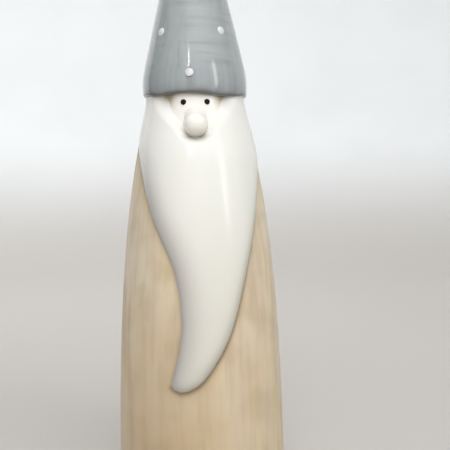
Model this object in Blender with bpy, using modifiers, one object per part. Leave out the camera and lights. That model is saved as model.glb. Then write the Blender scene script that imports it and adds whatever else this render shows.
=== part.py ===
"""Tomte gnome figurine: a hollow ceramic gnome in a washed coat, with a horn-shaped beard and a cone hat.

Metres, +Z up. The origin is the centre of the foot ring, on the table. The gnome looks along -Y.
Angles around the figure are in degrees from the front, positive towards +X.
Nothing moves: every piece is luted to its neighbour, and SEAT_GAP stands for the joint's slip.
"""

import math

import bmesh
import bpy
import numpy as np
from mathutils import Matrix, Vector

NAME = "tomte_figurine"

# Joints between pieces
SEAT_GAP = 0.0003

# Coat: a turned shell, straight at the foot and drawn in towards the neck
COAT_HEIGHT = 0.1660
FOOT_RADIUS = 0.0355
FOOT_ROUNDING = 0.0010
COAT_WALL = 0.0040
BELLY_HANDLE = 0.1225
NECK_HANDLE = 0.0165
NECK_TAPER = math.radians(5.0)
NECK_WALL = 0.0018
NECK_SEAT_DEPTH = 0.0240

# Floor slab, pushed up into a rebate in the foot
FLOOR_THICKNESS = 0.0035
FLOOR_RECESS = 0.0015
FLOOR_LEDGE = 0.0012
VENT_RADIUS = 0.0050

# Head: a thimble whose front is built out into the face
HEAD_RADIUS = 0.0185
HEAD_WALL = 0.0030
HEAD_RISE = 0.0060
HEAD_VENT_RADIUS = 0.0030
FACE_SINK = 0.0008

# Beard: a relief laid on the coat, thin at its outline and swelling inwards
BEARD_LENGTH = 0.1169
BEARD_EDGE = 0.0006
BEARD_SWELL = 0.0038
LEFT_EDGE_STEEPNESS = 2.2
RIGHT_EDGE_STEEPNESS = 5.0
FACE_HALF_ANGLE = 35.0
NOSE_CLEARANCE = 0.0007
SEAM_COVER = 0.0022

# Nose and eyes
NOSE_RADIUS = 0.0052
NOSE_DROP = 0.0133
NOSE_BRIDGE = 1.45
NOSE_TAPER = 0.18
NOSE_STAND = 0.0025
EYE_RADIUS = 0.00115
EYE_HEIGHT = 0.0008
EYE_SPACING = 0.0096
EYE_DROP = 0.0036

# Hat: a hollow cone with a rolled rim
HAT_HEIGHT = 0.0937
HAT_TIP_RADIUS = 0.0030
HAT_WALL = 0.0030
RIM_OVERHANG = 0.0016
RIM_ROLL = 0.0042
RIM_BAND = 0.0083
DOT_RADIUS = 0.00195
DOT_HEIGHT = 0.0007
DOT_FIRST_RISE = 0.0078
DOT_ROW_PITCH = 0.0180

# Sizes that follow from the ones above
HEAD_BORE = HEAD_RADIUS + SEAT_GAP
NECK_RADIUS = HEAD_BORE + NECK_WALL
RIM_Z = COAT_HEIGHT + SEAT_GAP
RIM_RADIUS = NECK_RADIUS + RIM_OVERHANG
FACE_HALF_WIDTH = NECK_RADIUS * math.sin(math.radians(FACE_HALF_ANGLE))
NOSE_Z = COAT_HEIGHT - NOSE_DROP
CUP_RADIUS = NOSE_RADIUS + NOSE_CLEARANCE
CUP_DROP = NOSE_DROP + CUP_RADIUS
NOTCH_FLOOR = COAT_HEIGHT - CUP_DROP - SEAM_COVER
HEAD_FOOT = min(COAT_HEIGHT - NECK_SEAT_DEPTH, NOTCH_FLOOR - SEAM_COVER)

# Facets around each turned piece, and the beard's grid: steps across a half, and the most degrees that an
# edge turns and the most metres that it drops from one row to the next
COAT_STEPS = 56
HAT_STEPS = 48
HEAD_STEPS = 40
FLOOR_STEPS = 40
BEARD_STEPS = 12
BEARD_ROW_TURN = 7.0
BEARD_ROW_STEP = 0.0065

# The hat's dots: degrees from the front, a row at a time from the rim up, set by hand and so not quite even
DOT_ANGLES = [
    (-5.5, 103.0, 176.0, -108.0),
    (-46.8, 38.1, 127.0, -133.0),
    (-3.0, 85.0, 171.0, -95.0),
    (-44.0, 47.0, 136.0, -138.0),
]

# The beard's two edges: angle from the front, and share of the beard's length below the coat's top
BEARD_LEFT_EDGE = [
    (-115.0, 0.00), (-112.0, 0.03), (-86.0, 0.145), (-66.5, 0.212), (-54.0, 0.288), (-36.8, 0.431),
    (-18.5, 0.591), (-12.6, 0.750), (-14.3, 0.863), (-19.0, 0.962), (-18.8, 0.988), (-13.5, 1.000),
]
BEARD_RIGHT_EDGE = [
    (115.0, 0.00), (112.0, 0.03), (88.0, 0.125), (72.5, 0.230), (57.5, 0.340), (37.3, 0.579),
    (20.3, 0.813), (3.6, 0.950), (-6.0, 0.990), (-13.0, 1.000),
]


def material(name, colour, roughness, metallic=0.0):
    """A Principled material of one colour, given as sRGB 0 to 255."""
    mat = bpy.data.materials.new(name)
    mat.use_nodes = True
    shader = mat.node_tree.nodes["Principled BSDF"]
    linear = [(channel / 255.0) ** 2.2 for channel in colour]
    shader.inputs["Base Color"].default_value = (*linear, 1.0)
    shader.inputs["Roughness"].default_value = roughness
    shader.inputs["Metallic"].default_value = metallic
    mat.diffuse_color = (*linear, 1.0)
    return mat


def new_collection(name):
    collection = bpy.data.collections.new(name)
    bpy.context.scene.collection.children.link(collection)
    return collection


def add_mesh(name, collection, bm, mat=None):
    """Turn a bmesh into a smooth-shaded object of its own."""
    bmesh.ops.recalc_face_normals(bm, faces=bm.faces)
    mesh = bpy.data.meshes.new(name)
    bm.to_mesh(mesh)
    bm.free()
    obj = bpy.data.objects.new(name, mesh)
    collection.objects.link(obj)
    mesh.shade_smooth()
    mesh.set_sharp_from_angle(angle=math.radians(40))
    if mat:
        mesh.materials.append(mat)
    return obj


def add_turned(name, collection, profile, steps, mat=None, ring=True):
    """Turn a profile of (radius, height) points about Z. It runs down its outer side first."""
    mesh = bpy.data.meshes.new(name)
    count = len(profile)
    edges = [(i, (i + 1) % count) for i in range(count if ring else count - 1)]
    mesh.from_pydata([(radius, 0.0, height) for radius, height in profile], edges, [])
    obj = bpy.data.objects.new(name, mesh)
    collection.objects.link(obj)
    screw = obj.modifiers.new("turned", "SCREW")
    screw.steps = steps
    screw.render_steps = steps
    screw.use_merge_vertices = True
    screw.merge_threshold = 0.00005
    screw.use_smooth_shade = True
    if mat:
        mesh.materials.append(mat)
    return obj


def add_cutter(obj):
    obj.hide_render = True
    obj.display_type = "WIRE"
    return obj


def add_boolean(obj, operation, other):
    boolean = obj.modifiers.new(operation.lower(), "BOOLEAN")
    boolean.operation = operation
    boolean.object = other
    boolean.solver = "EXACT"
    return boolean


def bezier(points, count):
    """Points along a Bezier curve of any degree, ends included."""
    share = np.linspace(0.0, 1.0, count)[:, None]
    layer = [np.array(point, float) for point in points]
    while len(layer) > 1:
        layer = [(1.0 - share) * a + share * b for a, b in zip(layer[:-1], layer[1:])]
    return layer[0]


def arc(centre, radius, start, end, count):
    """Points on an arc in a profile's (radius, height) plane. Angles in degrees from the +radius axis."""
    angles = np.radians(np.linspace(start, end, count))
    return [(centre[0] + radius * math.cos(a), centre[1] + radius * math.sin(a)) for a in angles]


def coat_curve(count):
    """The coat's outer profile from the neck down to the foot."""
    neck = (NECK_RADIUS, COAT_HEIGHT)
    shoulder = (
        NECK_RADIUS + NECK_HANDLE * math.sin(NECK_TAPER),
        COAT_HEIGHT - NECK_HANDLE * math.cos(NECK_TAPER),
    )
    return bezier([neck, shoulder, (FOOT_RADIUS, BELLY_HANDLE), (FOOT_RADIUS, 0.0)], count)


def coat_radius(height):
    """The coat's outer radius at any height. Above the neck it stays as wide as the neck."""
    curve = coat_curve(400)[::-1]
    return np.interp(height, curve[:, 1], curve[:, 0])


def coat_profile():
    """Outer side down, round the foot ring, up the rebate, the inside and the neck's bore."""
    outer = [tuple(p) for p in coat_curve(16)[:-1]]
    outer = [p for p in outer if p[1] > 2.0 * FOOT_ROUNDING]
    foot_out = arc((FOOT_RADIUS - FOOT_ROUNDING, FOOT_ROUNDING), FOOT_ROUNDING, 0, -90, 4)
    inner_foot = FOOT_RADIUS - COAT_WALL
    rebate = inner_foot + FLOOR_LEDGE
    ledge = FLOOR_RECESS + FLOOR_THICKNESS + SEAT_GAP
    bore_foot = HEAD_FOOT - SEAT_GAP
    slope_foot = bore_foot - (coat_radius(bore_foot) - COAT_WALL - HEAD_BORE)
    inside = [(inner_foot, ledge)]
    for height in np.linspace(ledge, slope_foot, 7)[1:]:
        inside.append((float(coat_radius(height)) - COAT_WALL, height))
    bore = [(HEAD_BORE, bore_foot), (HEAD_BORE, COAT_HEIGHT)]
    return outer + foot_out + [(rebate, 0.0), (rebate, ledge)] + inside + bore


def notch_outline(clearance):
    """The face notch in front view, as wide as the face and its covered seam, less a clearance."""
    top = COAT_HEIGHT + 2.0 * SEAM_COVER
    half_top = FACE_HALF_WIDTH + SEAM_COVER - clearance
    half_floor = CUP_RADIUS + SEAM_COVER - clearance
    floor = NOTCH_FLOOR + clearance
    bend = NOSE_Z + clearance
    half = [(half_floor, floor), (half_floor, bend), (half_top, COAT_HEIGHT), (half_top, top)]
    return half + [(-x, z) for x, z in reversed(half)]


def add_notch(name, collection, clearance):
    """A prism from the axis forwards, of the notch's outline."""
    bm = bmesh.new()
    face = bm.faces.new([bm.verts.new((x, 0.0, z)) for x, z in notch_outline(clearance)])
    swept = bmesh.ops.extrude_face_region(bm, geom=[face], use_keep_orig=True)
    for vert in swept["geom"]:
        if isinstance(vert, bmesh.types.BMVert):
            vert.co.y -= 2.0 * FOOT_RADIUS
    return add_cutter(add_mesh(name, collection, bm))


def add_coat(parts, cutters):
    wash = material("coat_wash", (188, 166, 136), 0.55)
    coat = add_turned("coat_shell", parts, coat_profile(), COAT_STEPS, wash)
    add_boolean(coat, "DIFFERENCE", add_notch("coat_notch", cutters, 0.0))
    return coat


def add_floor(parts):
    radius = FOOT_RADIUS - COAT_WALL + FLOOR_LEDGE - SEAT_GAP
    bottom = FLOOR_RECESS
    top = bottom + FLOOR_THICKNESS
    profile = [(radius, top), (radius, bottom), (VENT_RADIUS, bottom), (VENT_RADIUS, top)]
    return add_turned("floor_disc", parts, profile, FLOOR_STEPS, material("bare_clay", (214, 203, 184), 0.8))


def thimble_profile():
    """The head: a plain cylinder in the coat's bore, closed above by a dome with a vent."""
    shoulder = RIM_Z + HEAD_RISE
    inner = HEAD_RADIUS - HEAD_WALL
    start = math.degrees(math.acos(HEAD_VENT_RADIUS / HEAD_RADIUS))
    end = math.degrees(math.acos(HEAD_VENT_RADIUS / inner))
    dome = arc((0.0, shoulder), HEAD_RADIUS, start, 0, 8)
    inner_dome = arc((0.0, shoulder), inner, 0, end, 6)
    return dome + [(HEAD_RADIUS, HEAD_FOOT), (inner, HEAD_FOOT)] + inner_dome


def face_block_profile():
    """The build-out of the face: the coat's own curve, sunk a little, down to inside the thimble's wall."""
    top = COAT_HEIGHT - SEAT_GAP
    floor = NOTCH_FLOOR - SEAM_COVER
    root = HEAD_RADIUS - HEAD_WALL / 2.0
    heights = np.linspace(top, floor, 6)
    outer = [(float(coat_radius(height)) - FACE_SINK, height) for height in heights]
    return outer + [(root, floor), (root, top)]


def add_head(parts, cutters):
    glaze = material("face_glaze", (246, 243, 234), 0.15)
    face = add_cutter(add_turned("face_block", cutters, face_block_profile(), COAT_STEPS))
    add_boolean(face, "INTERSECT", add_notch("face_outline", cutters, SEAT_GAP))
    head = add_turned("head_shell", parts, thimble_profile(), HEAD_STEPS, glaze)
    add_boolean(head, "UNION", face)
    return head


def smooth_curve(points, count):
    """A Catmull-Rom curve through a list of points, sampled evenly between each pair."""
    path = np.array([points[0]] + list(points) + [points[-1]], float)
    share = np.linspace(0.0, 1.0, count, endpoint=False)[:, None]
    pieces = []
    for a, b, c, d in zip(path[:-3], path[1:-2], path[2:-1], path[3:]):
        pieces.append(
            b + 0.5 * share * (c - a)
            + share**2 * (a - 2.5 * b + 2.0 * c - 0.5 * d)
            + share**3 * (1.5 * b - 0.5 * a - 1.5 * c + 0.5 * d)
        )
    return np.vstack(pieces + [path[-1:]])


def edge_angle(edge, drop):
    """The beard edge's angle at a drop below the coat's top."""
    curve = smooth_curve(edge, 12)
    order = np.argsort(curve[:, 1], kind="stable")
    return float(np.interp(drop / BEARD_LENGTH, curve[order, 1], curve[order, 0]))


def face_angle(drop):
    """Half of the opening between the beard's lobes: a slope to the nose, then a cup around it."""
    below_nose = drop - NOSE_DROP
    if drop >= CUP_DROP:
        return 0.0
    if below_nose > 0.0:
        half_width = math.sqrt(CUP_RADIUS**2 - below_nose**2)
    else:
        half_width = CUP_RADIUS + (FACE_HALF_WIDTH - CUP_RADIUS) * (-below_nose / NOSE_DROP)
    radius = float(coat_radius(COAT_HEIGHT - drop))
    return math.degrees(math.asin(half_width / radius))


def beard_drops():
    """Row heights of the beard: the faster its edges or the cup turn, the closer the rows."""
    rows = [0.0]
    for start, end in ((0.0, CUP_DROP), (CUP_DROP, BEARD_LENGTH)):
        fine = np.linspace(start, end, 200)
        angles = [[edge_angle(BEARD_LEFT_EDGE, d), edge_angle(BEARD_RIGHT_EDGE, d), face_angle(d)] for d in fine]
        turn = np.abs(np.diff(angles, axis=0)).max(axis=1) / BEARD_ROW_TURN
        climb = np.diff(fine) / BEARD_ROW_STEP
        travel = np.concatenate([[0.0], np.cumsum(np.maximum(turn, climb))])
        stops = np.linspace(0.0, travel[-1], math.ceil(travel[-1]) + 1)[1:]
        rows += [float(drop) for drop in np.interp(stops, travel, fine)]
    return rows


def beard_thickness(across, drop, angle, steepness):
    """How far the beard stands off the coat.

    across runs from 0 at the outer edge to 1 at the middle. The thickness rises from the edge like a
    flattened arch, fades as the beard wraps round to the side, towards the brow and towards the round
    tip, and dips again along the opening for the face.
    """
    arch = math.sqrt(1.0 - (1.0 - across) ** steepness)
    wrap = max(math.cos(angle), 0.0) ** 0.6
    narrowing = math.sqrt(min(1.0, (BEARD_LENGTH - drop) / (0.35 * BEARD_LENGTH)))
    tip = math.sqrt(min(1.0, (BEARD_LENGTH - drop) / (2.0 * BEARD_SWELL)))
    open_share = max(0.0, 1.0 - drop / CUP_DROP)
    brow = 1.0 - 0.55 * open_share**2
    cheek = 1.0 - min(1.0, 2.0 * open_share**1.5) * across**3
    swell = BEARD_SWELL * (0.4 + 0.6 * narrowing) - BEARD_EDGE
    return BEARD_EDGE + swell * arch * wrap * tip * brow * cheek


def add_beard(parts):
    """Two half sheets on the coat, joined below the nose, swept outwards by the beard's thickness."""
    bm = bmesh.new()
    growth = {}
    halves = (
        (BEARD_LEFT_EDGE, -1.0, LEFT_EDGE_STEEPNESS),
        (BEARD_RIGHT_EDGE, 1.0, RIGHT_EDGE_STEEPNESS),
    )
    for edge, side, steepness in halves:
        rows = []
        for drop in beard_drops():
            height = COAT_HEIGHT - drop
            outer = edge_angle(edge, drop)
            opening = face_angle(drop)
            middle = 0.5 * (edge_angle(BEARD_LEFT_EDGE, drop) + edge_angle(BEARD_RIGHT_EDGE, drop))
            middle *= min(1.0, max(0.0, drop - CUP_DROP) / (0.25 * BEARD_LENGTH))
            inner = side * opening if opening > 0.0 else middle
            radius = float(coat_radius(height)) + SEAT_GAP
            row = []
            for step in range(BEARD_STEPS + 1):
                across = step / BEARD_STEPS
                angle = math.radians(outer + (inner - outer) * across)
                vert = bm.verts.new((radius * math.sin(angle), -radius * math.cos(angle), height))
                growth[vert.co.to_tuple(6)] = beard_thickness(across, drop, angle, steepness)
                row.append(vert)
            rows.append(row)
        for upper, lower in zip(rows[:-1], rows[1:]):
            for i in range(BEARD_STEPS):
                bm.faces.new((upper[i], upper[i + 1], lower[i + 1], lower[i]))
    bmesh.ops.remove_doubles(bm, verts=bm.verts, dist=0.00002)
    swept = bmesh.ops.extrude_face_region(bm, geom=bm.faces[:], use_keep_orig=True)
    for vert in swept["geom"]:
        if isinstance(vert, bmesh.types.BMVert):
            outward = Vector((vert.co.x, vert.co.y, 0.0)).normalized()
            vert.co += outward * growth[vert.co.to_tuple(6)]
    return add_mesh("beard", parts, bm, material("beard_glaze", (244, 242, 236), 0.18))


def add_nose(parts, cutters):
    """A ball drawn up into a bridge, seated on the face."""
    bm = bmesh.new()
    bmesh.ops.create_uvsphere(bm, u_segments=20, v_segments=12, radius=NOSE_RADIUS)
    for vert in bm.verts:
        rise = max(0.0, vert.co.z / NOSE_RADIUS)
        vert.co.z *= 1.0 + (NOSE_BRIDGE - 1.0) * rise
        vert.co.x *= 1.0 - NOSE_TAPER * rise
        vert.co.y *= 1.0 - NOSE_TAPER * rise
    seat = float(coat_radius(NOSE_Z)) - FACE_SINK
    nose = add_mesh("nose", parts, bm, material("nose_glaze", (242, 236, 226), 0.15))
    nose.location = (0.0, -(seat + NOSE_STAND), NOSE_Z)
    lowest = NOSE_Z - 2.0 * NOSE_RADIUS
    highest = COAT_HEIGHT + NOSE_RADIUS
    profile = []
    for height in np.linspace(highest, lowest, 10):
        profile.append((float(coat_radius(height)) - FACE_SINK + SEAT_GAP, height))
    profile += [(0.0, lowest), (0.0, highest)]
    seat_cutter = add_turned("nose_seat", cutters, profile, COAT_STEPS)
    add_boolean(nose, "DIFFERENCE", add_cutter(seat_cutter))
    return nose


def add_drop(name, parts, mesh_radius, rise, segments, mat):
    """A round drop with a flat back on its own XY plane, domed towards +Z."""
    bm = bmesh.new()
    bmesh.ops.create_uvsphere(bm, u_segments=segments, v_segments=8, radius=mesh_radius)
    geometry = bm.verts[:] + bm.edges[:] + bm.faces[:]
    cut = bmesh.ops.bisect_plane(
        bm, geom=geometry, dist=0.00001, plane_co=(0, 0, 0), plane_no=(0, 0, 1), clear_inner=True
    )
    rim = [item for item in cut["geom_cut"] if isinstance(item, bmesh.types.BMEdge)]
    bmesh.ops.contextual_create(bm, geom=rim)
    bmesh.ops.scale(bm, vec=(1.0, 1.0, rise / mesh_radius), verts=bm.verts)
    return add_mesh(name, parts, bm, mat)


def place_on_side(obj, radius, height, angle, taper):
    """Set a drop on a cone: its flat back a seat gap off the surface, its dome along the surface's normal."""
    around = math.radians(angle)
    normal = Vector((
        math.sin(around) * math.cos(taper),
        -math.cos(around) * math.cos(taper),
        math.sin(taper),
    ))
    foot = Vector((radius * math.sin(around), -radius * math.cos(around), height))
    turn = normal.to_track_quat("Z", "Y").to_matrix().to_4x4()
    obj.matrix_world = Matrix.Translation(foot + normal * SEAT_GAP) @ turn


def add_eyes(parts):
    enamel = material("black_enamel", (18, 16, 16), 0.05)
    height = COAT_HEIGHT - EYE_DROP
    reach = 0.002
    taper = math.atan2(float(coat_radius(height - reach) - coat_radius(height)), reach)
    radius = float(coat_radius(height)) - FACE_SINK
    angle = math.degrees(math.asin(EYE_SPACING / 2.0 / radius))
    for name, side in (("eye_left", -1.0), ("eye_right", 1.0)):
        eye = add_drop(name, parts, EYE_RADIUS, EYE_HEIGHT, 14, enamel)
        place_on_side(eye, radius, height, side * angle, taper)


def hat_cone():
    """Where the cone's straight side starts, its taper, and the centre of the tip's ball."""
    tip_centre = RIM_Z + HAT_HEIGHT - HAT_TIP_RADIUS
    bend = RIM_Z + RIM_BAND
    reach = math.hypot(RIM_RADIUS, tip_centre - bend)
    lean = math.atan2(RIM_RADIUS, tip_centre - bend)
    taper = lean - math.asin(HAT_TIP_RADIUS / reach)
    return bend, taper, tip_centre


def hat_radius(height):
    """The hat's outer radius on its straight side."""
    bend, taper, _ = hat_cone()
    return RIM_RADIUS - (height - bend) * math.tan(taper)


def hat_profile():
    """Tip, straight side, rolled rim, bore over the head, and the hollow up to its point."""
    bend, taper, tip_centre = hat_cone()
    top = tip_centre + HAT_TIP_RADIUS
    degrees = math.degrees(taper)
    tip = [(0.0, top)] + arc((0.0, tip_centre), HAT_TIP_RADIUS, 90, degrees, 5)[1:]
    side_foot = bend + (RIM_BAND - RIM_ROLL)
    side = [(hat_radius(height), height) for height in np.linspace(tip[-1][1], side_foot, 4)[1:]]
    roll_foot = (RIM_RADIUS, RIM_Z + RIM_ROLL)
    curve = bezier([side[-1], (RIM_RADIUS, bend), roll_foot], 4)[1:]
    under = (RIM_RADIUS - 0.4 * RIM_ROLL, RIM_Z)
    roll = bezier([roll_foot, (RIM_RADIUS, RIM_Z + 0.3 * RIM_ROLL), (RIM_RADIUS, RIM_Z), under], 5)[1:]
    shoulder = RIM_Z + HEAD_RISE
    thinned = HAT_WALL / math.cos(taper)
    inner_top = (hat_radius(0.0) - thinned) / math.tan(taper)
    inside = [(HEAD_BORE, RIM_Z)]
    meet = (hat_radius(0.0) - thinned - HEAD_BORE) / math.tan(taper)
    inside.append((HEAD_BORE, max(meet, shoulder)))
    for height in np.linspace(inside[-1][1], inner_top, 5)[1:-1]:
        inside.append((hat_radius(height) - thinned, height))
    return tip + side + [tuple(p) for p in curve] + [tuple(p) for p in roll] + inside + [(0.0, inner_top)]


def add_hat(parts):
    glaze = material("hat_glaze", (158, 165, 166), 0.12)
    return add_turned("hat_shell", parts, hat_profile(), HAT_STEPS, glaze, ring=False)


def add_hat_dots(parts):
    """Rows of raised slip drops laid on the cone."""
    slip = material("dot_slip", (236, 238, 238), 0.15)
    _, taper, _ = hat_cone()
    for row, angles in enumerate(DOT_ANGLES):
        height = RIM_Z + DOT_FIRST_RISE + row * DOT_ROW_PITCH
        for number, angle in enumerate(angles):
            dot = add_drop(f"hat_dot_{row + 1}_{number + 1}", parts, DOT_RADIUS, DOT_HEIGHT, 12, slip)
            place_on_side(dot, hat_radius(height), height, angle, taper)


def main():
    for obj in list(bpy.data.objects):
        bpy.data.objects.remove(obj, do_unlink=True)
    parts = new_collection(NAME)
    cutters = new_collection("cutters")
    add_coat(parts, cutters)
    add_floor(parts)
    add_head(parts, cutters)
    add_beard(parts)
    add_nose(parts, cutters)
    add_eyes(parts)
    add_hat(parts)
    add_hat_dots(parts)


main()
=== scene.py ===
"""Tomte figurine in glazed ceramic: fine surfaces, glazes and a small studio round the measured frame.

The frame is in metres, +Z up, and the tomte looks along -Y. Angles run round the Z axis in degrees from the
front, positive towards +X. Every piece is a surface worked out with numpy, placed by its own vertices.
"""

import math

import bpy
import numpy as np
from mathutils import Matrix, Vector


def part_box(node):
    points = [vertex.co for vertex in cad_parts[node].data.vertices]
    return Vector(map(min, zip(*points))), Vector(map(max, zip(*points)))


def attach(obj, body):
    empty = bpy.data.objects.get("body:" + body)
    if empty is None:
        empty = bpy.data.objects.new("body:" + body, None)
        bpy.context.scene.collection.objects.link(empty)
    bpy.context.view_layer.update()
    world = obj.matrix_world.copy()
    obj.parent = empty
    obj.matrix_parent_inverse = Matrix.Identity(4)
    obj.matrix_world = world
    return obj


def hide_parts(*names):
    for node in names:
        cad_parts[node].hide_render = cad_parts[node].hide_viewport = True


bl_info = {
    "name": "Tomte Figurine",
    "version": (1, 0, 0),
    "blender": (4, 5, 0),
    "location": "3D View > Sidebar > Tomte",
    "description": "Builds a glazed ceramic tomte round its measured frame",
    "category": "Add Mesh",
}

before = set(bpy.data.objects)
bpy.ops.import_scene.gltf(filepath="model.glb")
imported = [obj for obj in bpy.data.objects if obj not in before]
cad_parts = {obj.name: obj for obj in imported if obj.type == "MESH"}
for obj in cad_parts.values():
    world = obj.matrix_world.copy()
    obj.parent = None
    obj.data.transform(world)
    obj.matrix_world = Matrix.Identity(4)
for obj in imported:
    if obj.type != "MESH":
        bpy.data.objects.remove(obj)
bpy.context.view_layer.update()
BODY = "root"
MM = 0.001

# Places read from the frame
COAT_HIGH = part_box("coat_shell")[1]
FOOT_RADIUS = COAT_HIGH.x
COAT_HEIGHT = COAT_HIGH.z
HAT_LOW, HAT_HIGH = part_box("hat_shell")
HEAD_LOW, HEAD_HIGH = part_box("head_shell")
RIM_RADIUS = HAT_HIGH.x
RIM_Z = HAT_LOW.z
TIP_Z = HAT_HIGH.z
HEAD_RADIUS = HEAD_HIGH.x
BEARD_LENGTH = COAT_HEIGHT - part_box("beard")[0].z
DOT_NODES = sorted(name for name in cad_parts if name.startswith("hat_dot_"))

# The coat's curve: a straight foot, and a neck that meets the hat at a slight taper
BELLY_HANDLE = 122.5 * MM
NECK_HANDLE = 16.5 * MM
NECK_TAPER = math.radians(5.0)
NECK_WALL = 1.8 * MM

# Walls and seats
SEAT_GAP = 0.3 * MM  # the slip between two pieces
HEAD_WALL = HAT_WALL = 3.0 * MM
HEAD_VENT = 3.0 * MM  # radius of the hole in the head's dome
SLAB_VENT = 5.0 * MM  # radius of the hole in the floor slab
COAT_STEP = 1.3 * MM  # how far the coat draws back behind the face
FACE_FOOT = 144.0 * MM  # height where the face begins; below it the beard hides the head

# The beard's relief
CUP = 4.4 * MM  # radius of the beard's opening round the lower half of the nose
SOFT_EDGE_END = 0.984  # share of the beard's length where its soft left edge turns into the firm tip
BROW_SWELL = 0.24  # share of the swell that is left at the brim
BROW_FADE = 27.0 * MM  # drop over which the swell grows to its full height
EDGE_SINK = 0.25 * MM  # how deep the outline lies in the coat
LOBE_SINK = 1.1 * MM  # how deep the lobes' edges lie in the face
TUCK = 1.0 * MM  # how far the top goes up behind the hat's rim, and the seat into the coat

# The nose, the eyes and the dots
NOSE_RISE = 0.7 * MM  # how much higher the nose's middle sits than the beard's cup
NOSE_STAND = 1.2 * MM  # how far the middle of the nose's ball stands off the face
NOSE_DEPTH = 0.85  # depth of the ball as a share of its radius
NOSE_WIDTH = 1.04
NOSE_SEAT = 1.2 * MM  # how deep the nose's flat underside lies in the face
DISH_DEPTH = 0.15 * MM  # how hollow a drop's underside is
EYE_LIFT = 0.3 * MM  # how much higher than in the frame the eyes sit
EYE_SHARE = 0.53  # an eye's radius as a share of its height in the frame
DOT_SHARE = 0.45  # the same for a dot

# The beard's two edges: angle from the front, and share of the beard's length below the coat's top
BEARD_LEFT_EDGE = [
    (-115.0, 0.00), (-112.0, 0.03), (-86.0, 0.145), (-66.5, 0.212), (-54.0, 0.288), (-36.8, 0.431),
    (-18.5, 0.591), (-12.6, 0.750), (-14.3, 0.863), (-19.0, 0.962), (-18.8, 0.988), (-13.5, 1.000),
]
BEARD_RIGHT_EDGE = [
    (115.0, 0.00), (112.0, 0.03), (88.0, 0.125), (72.5, 0.230), (57.5, 0.340), (37.3, 0.579),
    (20.3, 0.813), (3.6, 0.950), (-6.0, 0.990), (-13.0, 1.000),
]


def linear(red, green, blue):
    """A display colour of 0 to 255 as the linear values that a shader takes."""
    shares = np.array([red, green, blue]) / 255.0
    low = shares / 12.92
    high = ((shares + 0.055) / 1.055) ** 2.4
    return tuple(float(v) for v in np.where(shares <= 0.04045, low, high))


# ---------------------------------------------------------------- settings


def length(label, default, note):
    return bpy.props.FloatProperty(
        name=label, description=note, default=default, unit="LENGTH", subtype="DISTANCE", precision=5
    )


def colour(label, rgb, note):
    return bpy.props.FloatVectorProperty(
        name=label, description=note, default=linear(*rgb), subtype="COLOR", min=0.0, max=1.0
    )


def number(label, default, note):
    return bpy.props.FloatProperty(name=label, description=note, default=default)


class TomteCoatSettings(bpy.types.PropertyGroup):
    unevenness: length("Unevenness", 0.10 * MM, "How far the hand-finished wall strays from a true curve")
    wall: length("Wall", 4.0 * MM, "Thickness of the cast wall")
    wash: colour("Wash", (233, 219, 196), "The beige wash over most of the coat")
    wash_rose: colour("Rosy wash", (228, 209, 184), "The pinker strokes in the wash")
    wash_straw: colour("Straw wash", (236, 222, 183), "The yellower strokes in the wash")
    # Painted shade: the coat drawn darker towards the foot and at the front-left, where less light fell
    wash_low_shade: colour("Low wash", (199, 174, 139), "The wash towards the foot, where it was laid on thicker")
    # Deep wash also paints shade: the crease and halo beside the beard are drawn with it as shadow as well as
    # gathered wash
    wash_deep_and_shade: colour("Deep wash", (176, 150, 112), "Wash that gathered in hollows and at the foot")
    clay: colour("Bare clay", (205, 190, 165), "The unglazed clay of the foot ring and the inside")


class TomteBeardSettings(bpy.types.PropertyGroup):
    swell: length("Swell", 3.6 * MM, "How far the beard stands off the coat along its middle")
    side_swell: length("Side swell", 0.7 * MM, "How far it stands off where it wraps round the sides")
    left_slope: length("Left slope", 12.0 * MM, "Width of the soft slope along the left edge")
    right_slope: length("Right slope", 4.4 * MM, "Width of the round shoulder along the right edge")
    glaze: colour("Glaze", (244, 243, 238), "The white glaze")
    # Painted shade: the beard's white made darker and creamier towards the tip, where less light fell from
    # above
    glaze_thin: colour("Thin glaze", (226, 222, 210), "The glaze towards the tip, over the clay")
    # Painted shade: the grey of the soft left slope, which faces away from the light
    painted_slope_shade: colour("Grey glaze", (204, 199, 195), "The grey tinge of the soft left slope")
    # Deep glaze also paints shade: under the brim, along the right edge, under the nose and in the corners by
    # the brim
    glaze_deep_and_shade: colour("Deep glaze", (196, 194, 178), "The glaze where it pooled along the edges")


class TomteFaceSettings(bpy.types.PropertyGroup):
    sink: length("Sink", 0.7 * MM, "How deep the face lies under the coat's curve")
    half_angle: number("Half angle", 37.0, "Half of the face's width at the brim, in degrees")
    nose_radius: length("Nose", 4.7 * MM, "Radius of the nose's ball")
    nose_drop: length("Nose drop", 13.3 * MM, "How far the nose's middle lies below the coat's top")
    glaze: colour("Glaze", (249, 247, 240), "The cream glaze of the face")
    # Deep glaze also paints shade: the face's corners by the brim, the lobes' edges and the shadow under the
    # brim
    glaze_deep_and_shade: colour("Deep glaze", (176, 160, 132), "The glaze pooled in the corners of the face")
    enamel: colour("Enamel", (14, 12, 12), "The black of the eyes")


class TomteHatSettings(bpy.types.PropertyGroup):
    unevenness: length("Unevenness", 0.10 * MM, "How far the hat strays from a true cone")
    roll: length("Roll", 4.2 * MM, "Height of the rim's rounded lower edge")
    band: length("Band", 8.3 * MM, "Height above the rim where the straight cone takes over")
    tip_radius: length("Tip", 3.0 * MM, "Radius of the ball that rounds the tip")
    dot_height: length("Dot height", 0.42 * MM, "How far a slip dot stands off the hat")
    glaze: colour("Glaze", (166, 171, 172), "The grey glaze")
    glaze_thin: colour("Thin glaze", (186, 192, 193), "Where the brush left less glaze")
    # Deep glaze also paints the shadow on the rim's lower edge
    glaze_deep_and_shade: colour("Deep glaze", (88, 91, 86), "Where the glaze gathered on the rim")
    slip: colour("Slip", (228, 230, 231), "The white slip of the dots")


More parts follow.
